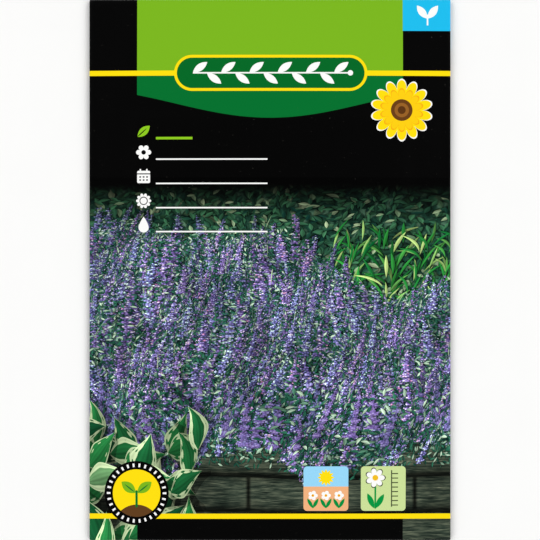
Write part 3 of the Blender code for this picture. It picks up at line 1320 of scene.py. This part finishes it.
def dressEnvelope():
    mesh = envelope.data
    for material in (makeHeader(), makeFarPicture(), makeNearPicture(), makeBackPrint(), makeBarePaper()):
        mesh.materials.append(material)
    middles = sheetCorners(mesh).reshape(-1, 4, 2).mean(axis=1)
    across, along = np.abs(middles[:, 0]), middles[:, 1]
    material = np.where(along > picture["top"], 0, np.where(along > picture["halves"], 1, 2))
    material[across > (sideX + foldArc) / mm] = 3
    material[envelopeFaces:] = 4  # the side that faces the bag, and the cut edges
    mesh.polygons.foreach_set("material_index", material.astype(np.int32))
    layBakeMap(envelope, envelopeFaces, envelopeMap)


dressEnvelope()
print("envelope printed")

# the inner bag of foil laminate


def newGeometryTree(name, sockets):
    tree = bpy.data.node_groups.new(name, "GeometryNodeTree")
    tree.interface.new_socket("Geometry", in_out="INPUT", socket_type="NodeSocketGeometry")
    labels = {}
    for label, kind in sockets:
        socket = tree.interface.new_socket(label, in_out="INPUT", socket_type="NodeSocket" + kind)
        labels[label] = socket.identifier
    tree.interface.new_socket("Geometry", in_out="OUTPUT", socket_type="NodeSocketGeometry")
    given = {socket.name: Value(socket) for socket in tree.nodes.new("NodeGroupInput").outputs}
    return tree, given, tree.nodes.new("NodeGroupOutput").inputs[0], labels


def geometryNode(tree, kind, **sockets):
    node = tree.nodes.new("GeometryNode" + kind)
    for label, value in sockets.items():
        plug(node.inputs[label], value)
    return Value(node.outputs[0])


def storeNumber(geometry, name, number, domain="POINT"):
    node = geometry.tree.nodes.new("GeometryNodeStoreNamedAttribute")
    node.data_type = "FLOAT"
    node.domain = domain
    for label, value in (("Geometry", geometry), ("Name", name), ("Value", number)):
        plug(node.inputs[label], value)
    return Value(node.outputs[0])


def grownWith(obj, tree, labels, values):
    modifier = obj.modifiers.new(tree.name, "NODES")
    modifier.node_group = tree
    for label, value in values.items():
        modifier[labels[label]] = value


def lowerWall(x, y):  # heights of the bag's walls above the middle plane
    return backHeight(x, y) + sheet["thickness"] / 2 + bag["restGap"] + bag["foil"] / 2


def upperWall(x, y):
    middle = (bag["foot"] + bag["head"]) / 2
    halfLength = (bag["head"] - bag["foot"]) / 2 - bag["seal"]
    bulge = bag["bulge"] * swell(x, y - middle, bag["width"] / 2 - bag["seal"], halfLength)
    return lowerWall(x, y) + bag["foil"] + bag["sealGap"] + bulge


def webPoints():  # the bag's web, from the head down the upper wall, round the foot and back up
    radius = (bag["foil"] + bag["sealGap"]) / 2
    columns = np.linspace(-bag["width"] / 2, bag["width"] / 2, round(bag["width"] / bag["mesh"]) + 1)
    steps = round((bag["head"] - bag["foot"] - radius) / bag["mesh"])
    down = np.linspace(bag["head"], bag["foot"] + radius, steps + 1)
    rows = []
    for y in down:
        rows.append((upperWall(columns, np.full_like(columns, y)), y))
    for angle in np.linspace(math.pi / 2, -math.pi / 2, bag["foldSteps"] + 1)[1:-1]:
        y = bag["foot"] + radius - radius * math.cos(angle)
        rows.append((lowerWall(columns, np.full_like(columns, y)) + radius + radius * math.sin(angle), y))
    for y in down[::-1]:
        rows.append((lowerWall(columns, np.full_like(columns, y)), y))
    points = np.array([
        np.stack([columns, np.full_like(columns, y), middleZ + height], axis=1) for height, y in rows
    ])
    steps = np.linalg.norm(np.diff(points[:, 0], axis=0), axis=1)
    run = np.concatenate([[0.0], np.cumsum(steps)])
    places = np.stack(np.broadcast_arrays(columns[None, :], run[:, None]), axis=2) / printUnit
    return points, places


def makeCrimpTree():  # ribs pressed into the three seals, and soft creases between them
    tree, given, result, labels = newGeometryTree(
        "sealCrimps",
        [
            ("Rib Pitch", "Float"),
            ("Rib Depth", "Float"),
            ("Crease Depth", "Float"),
            ("Half Width", "Float"),
            ("Head", "Float"),
            ("Seal", "Float"),
            ("Foil", "Material"),
        ],
    )
    place = Value(tree.nodes.new("GeometryNodeInputPosition").outputs[0])
    x, y, _ = separate(place)
    turnPerMetre = calc("DIVIDE", math.tau, given["Rib Pitch"])
    sideSealed = given["Half Width"] - abs(x) < given["Seal"]
    headSealed = given["Head"] - y < given["Seal"]
    sideRibs = sideSealed * (1.0 - headSealed) * calc("SINE", y * turnPerMetre)
    ribs = sideRibs + headSealed * calc("SINE", x * turnPerMetre)
    free = 1.0 - calc("MAXIMUM", sideSealed, headSealed)
    creased = noise(place * (1.0, 1.0, 0.0), 90.0, 3.0)
    lift = ribs * given["Rib Depth"] + (creased - 0.5) * free * given["Crease Depth"]
    moved = geometryNode(tree, "SetPosition", Geometry=given["Geometry"], Offset=combine(0.0, 0.0, lift))
    realised = geometryNode(tree, "RealizeInstances", Geometry=moved)
    plug(result, geometryNode(tree, "SetMaterial", Geometry=realised, Material=given["Foil"]))
    return tree, labels


foilFinish = {
    # these greys carry painted shade: darker where the crease relief sinks
    "shades": ((0.3, ink(196, 198, 200)), (0.6, ink(222, 223, 224)), (0.8, ink(236, 236, 236))),
    "rolling": (1.2, 0.2, 0.0),  # streaks for each mm across and along the web
    "creases": 0.25,
    "roughness": (0.27, 0.33),
    "metal": 0.9,
    "bump": (0.3, 0.2 * mm),
}


def makeFoil():
    material, tree, shader = newMaterial("foilLaminate")
    place = printPlace(tree)
    rolled = noise(place * foilFinish["rolling"], 1.0, 3.0)
    creases = noise(place, foilFinish["creases"], 6.0)
    # painted shade: the foil's grey follows the crease relief and is darker in its hollows
    plug(shader.inputs["Base Color"], ramp(creases, *foilFinish["shades"]))
    plug(shader.inputs["Roughness"], remap(rolled, 0.3, 0.7, *foilFinish["roughness"]))
    plug(shader.inputs["Metallic"], foilFinish["metal"])
    emboss(shader, rolled * 0.04 + creases, *foilFinish["bump"])
    return material


bagMap = {
    "size": 512.0,
    "outer": [(-200.0, 200.0, 2.2, (6.0, 44.0))],
    "inner": (2.2, (184.0, 44.0)),
    "edges": (2.2, (6.0, 4.0)),
    "strip": 6.0,
}


def makeBag():
    points, places = webPoints()
    obj = addObject("foilBag", gridMesh("foilBag", points, places))
    tree, labels = makeCrimpTree()
    values = {
        "Rib Pitch": bag["ribPitch"],
        "Rib Depth": bag["ribDepth"],
        "Crease Depth": bag["creaseDepth"],
        "Half Width": bag["width"] / 2,
        "Head": bag["head"],
        "Seal": bag["seal"],
        "Foil": makeFoil(),
    }
    grownWith(obj, tree, labels, values)
    thickened(obj, bag["foil"])
    layBakeMap(obj, (points.shape[0] - 1) * (points.shape[1] - 1), bagMap)
    return obj


foilBag = makeBag()
print("inner bag folded:", len(foilBag.data.polygons), "faces")

# the seeds

nutlet = {
    "length": 1.70 * mm,
    "width": 1.15 * mm,
    "thickness": 0.90 * mm,
    "taper": 0.35,
    "segments": 16,
    "rings": 10,
    "toneSeed": 5,
    "shades": ((0.25, ink(44, 26, 18)), (0.5, ink(86, 56, 36)), (0.8, ink(132, 94, 62))),
    "scar": ink(206, 186, 150),
    "mottle": 3500.0,
    "roughness": (0.38, 0.55),
    "bump": (0.3, 0.03 * mm),
}


def seedTurns():  # which way each seed points, from its own solid
    turns = []
    for name in seedNodes:
        corners = np.array([vertex.co[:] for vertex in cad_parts[name].data.vertices])
        flat = (corners - (corners.min(axis=0) + corners.max(axis=0)) / 2)[:, :2]
        along = np.linalg.svd(flat, full_matrices=False)[2][0]
        turns.append(math.atan2(along[1], along[0]))
    return turns


def makeNutletTree():
    tree, given, result, labels = newGeometryTree(
        "nutlets",
        [
            ("Length", "Float"),
            ("Width", "Float"),
            ("Thickness", "Float"),
            ("Taper", "Float"),
            ("Segments", "Int"),
            ("Rings", "Int"),
            ("Tone Seed", "Int"),
            ("Coat", "Material"),
        ],
    )
    ball = geometryNode(tree, "MeshUVSphere", Segments=given["Segments"], Rings=given["Rings"], Radius=0.5)
    x, y, z = separate(Value(tree.nodes.new("GeometryNodeInputPosition").outputs[0]))
    narrow = 1.0 - z * given["Taper"]
    along = z * given["Length"]
    across = x * narrow * given["Width"]
    up = y * narrow * given["Thickness"]
    shaped = geometryNode(tree, "SetPosition", Geometry=ball, Position=combine(along, across, up))
    smooth = geometryNode(tree, "SetShadeSmooth", Geometry=shaped)
    scarred = storeNumber(smooth, "scar", remap(z, 0.40, 0.49, smooth=True))
    turned = tree.nodes.new("GeometryNodeInputNamedAttribute")
    turned.data_type = "FLOAT"
    turned.inputs["Name"].default_value = "turn"
    rotation = combine(0.0, 0.0, Value(turned.outputs[0]))
    placed = geometryNode(
        tree, "InstanceOnPoints", Points=given["Geometry"], Instance=scarred, Rotation=rotation
    )
    chance = tree.nodes.new("FunctionNodeRandomValue")
    chance.data_type = "FLOAT"
    plug(chance.inputs["Seed"], given["Tone Seed"])
    toned = storeNumber(placed, "tone", Value(chance.outputs[1]), domain="INSTANCE")
    realised = geometryNode(tree, "RealizeInstances", Geometry=toned)
    plug(result, geometryNode(tree, "SetMaterial", Geometry=realised, Material=given["Coat"]))
    return tree, labels


def storedNumber(tree, name):
    node = tree.nodes.new("ShaderNodeAttribute")
    node.attribute_name = name
    return Value(node.outputs["Fac"])


def makeSeedCoat():
    material, tree, shader = newMaterial("seedCoat")
    place = Value(tree.nodes.new("ShaderNodeTexCoord").outputs["Object"])
    mottle = noise(place, nutlet["mottle"], 3.0)
    shade = mottle * 0.6 + storedNumber(tree, "tone") * 0.4
    colour = ramp(shade, *nutlet["shades"])
    plug(shader.inputs["Base Color"], mix(storedNumber(tree, "scar"), colour, nutlet["scar"]))
    plug(shader.inputs["Roughness"], remap(mottle, 0.3, 0.7, *nutlet["roughness"]))
    emboss(shader, mottle, *nutlet["bump"])
    return material


def makeSeeds():
    mesh = bpy.data.meshes.new("seeds")
    mesh.from_pydata(seedMiddles.tolist(), [], [])
    mesh.attributes.new("turn", "FLOAT", "POINT").data.foreach_set("value", seedTurns())
    obj = addObject("seeds", mesh)
    tree, labels = makeNutletTree()
    values = {
        "Length": nutlet["length"],
        "Width": nutlet["width"],
        "Thickness": nutlet["thickness"],
        "Taper": nutlet["taper"],
        "Segments": nutlet["segments"],
        "Rings": nutlet["rings"],
        "Tone Seed": nutlet["toneSeed"],
        "Coat": makeSeedCoat(),
    }
    grownWith(obj, tree, labels, values)
    return frozen(obj)


seeds = makeSeeds()
print("seeds laid in the bag:", len(seeds.data.polygons), "faces")

# camera, lights and floor

studio = {
    "lens": 100.0,
    "sensor": 36.0,
    "frameHeight": 149.8 * mm,
    "floorSize": 1.6,
    "fill": 0.35,
    "backdrop": (0.94, 0.94, 0.93),
    "mirrored": 0.1,  # how bright the room looks in the gloss of the ink
    "lamps": (1.04, 0.86, 0.7, 0.78),  # from above right, and on round anticlockwise
    "lampSpread": 40.0,
    "lampTilt": 50.0,
}


def makeStudio():
    camera = bpy.data.cameras.new("camera")
    camera.lens = studio["lens"]
    camera.sensor_width = studio["sensor"]
    eye = addObject("camera", camera)
    distance = studio["frameHeight"] / studio["sensor"] * studio["lens"]
    eye.location = (0.0, 0.0, outerRadius + distance)
    scene.camera = eye
    for number, strength in enumerate(studio["lamps"]):
        lamp = bpy.data.lights.new(f"softLamp{number + 1}", "SUN")
        lamp.angle = math.radians(studio["lampSpread"])
        lamp.energy = strength
        rig = addObject(lamp.name, lamp)
        rig.rotation_euler = (math.radians(studio["lampTilt"]), 0.0, math.radians(135.0 + 90.0 * number))
    world = bpy.data.worlds.new("studio")
    world.use_nodes = True
    scene.world = world
    tree = world.node_tree
    rays = tree.nodes.new("ShaderNodeLightPath").outputs
    shade = mix(Value(rays["Is Glossy Ray"]), (studio["fill"],) * 3, (studio["mirrored"],) * 3)
    shade = mix(Value(rays["Is Camera Ray"]), shade, studio["backdrop"])
    plug(tree.nodes["Background"].inputs["Color"], shade)
    half = studio["floorSize"] / 2
    corners = [(-half, -half, 0.0), (half, -half, 0.0), (half, half, 0.0), (-half, half, 0.0)]
    mesh = bpy.data.meshes.new("floor")
    mesh.from_pydata(corners, [], [(0, 1, 2, 3)])
    floor = addObject("floor", mesh)
    material, tree, shader = newMaterial("floorPaint")
    speckle = noise(Value(tree.nodes.new("ShaderNodeTexCoord").outputs["Object"]), 60.0)
    plug(shader.inputs["Roughness"], 0.9)
    plug(shader.inputs["Specular IOR Level"], 0.1)
    plug(shader.inputs["Base Color"], ramp(speckle, (0.0, (0.93, 0.93, 0.92)), (1.0, (0.95, 0.95, 0.94))))
    mesh.materials.append(material)
    scene.view_settings.view_transform = "Standard"


makeStudio()
print("studio ready")

for piece, slot, replaced in (
    (envelope, "printed_paper", ["paper_envelope"]),
    (foilBag, "foil_laminate", ["foil_inner_bag"]),
    (seeds, "seed_coat", seedNodes),
):
    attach(piece, "root")
    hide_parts(*replaced)
